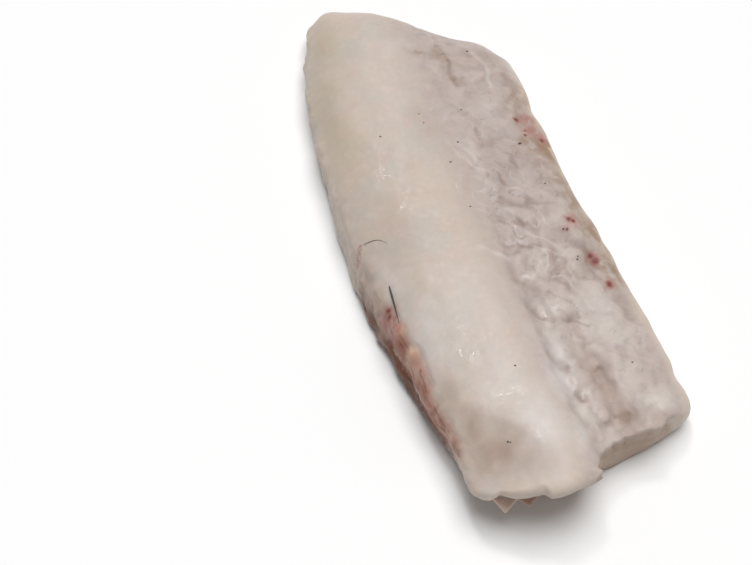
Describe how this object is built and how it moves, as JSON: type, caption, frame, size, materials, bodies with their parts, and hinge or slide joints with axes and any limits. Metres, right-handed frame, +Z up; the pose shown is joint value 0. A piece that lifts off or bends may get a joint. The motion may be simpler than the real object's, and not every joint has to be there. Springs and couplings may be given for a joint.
{
  "type": "cod loin",
  "caption": "Lightly salted raw cod loin: a thick skinless block of white fish with a smooth ridge, a lumpy boned side, a straight cut end and a slanted cut end.",
  "frame": {"origin": "on the table under the middle of the loin's box", "axes": "+Z up from the skin side to the bone side, +Y along the loin from the straight cut end to the slanted cut end, +X from the smooth ridge across to the lumpy side"},
  "size_m": [0.103, 0.237, 0.032],
  "materials": {
    "raw_cod": "moist, soft satin"
  },
  "bodies": {
    "root": {"loin": "raw_cod"}
  },
  "joints": []
}
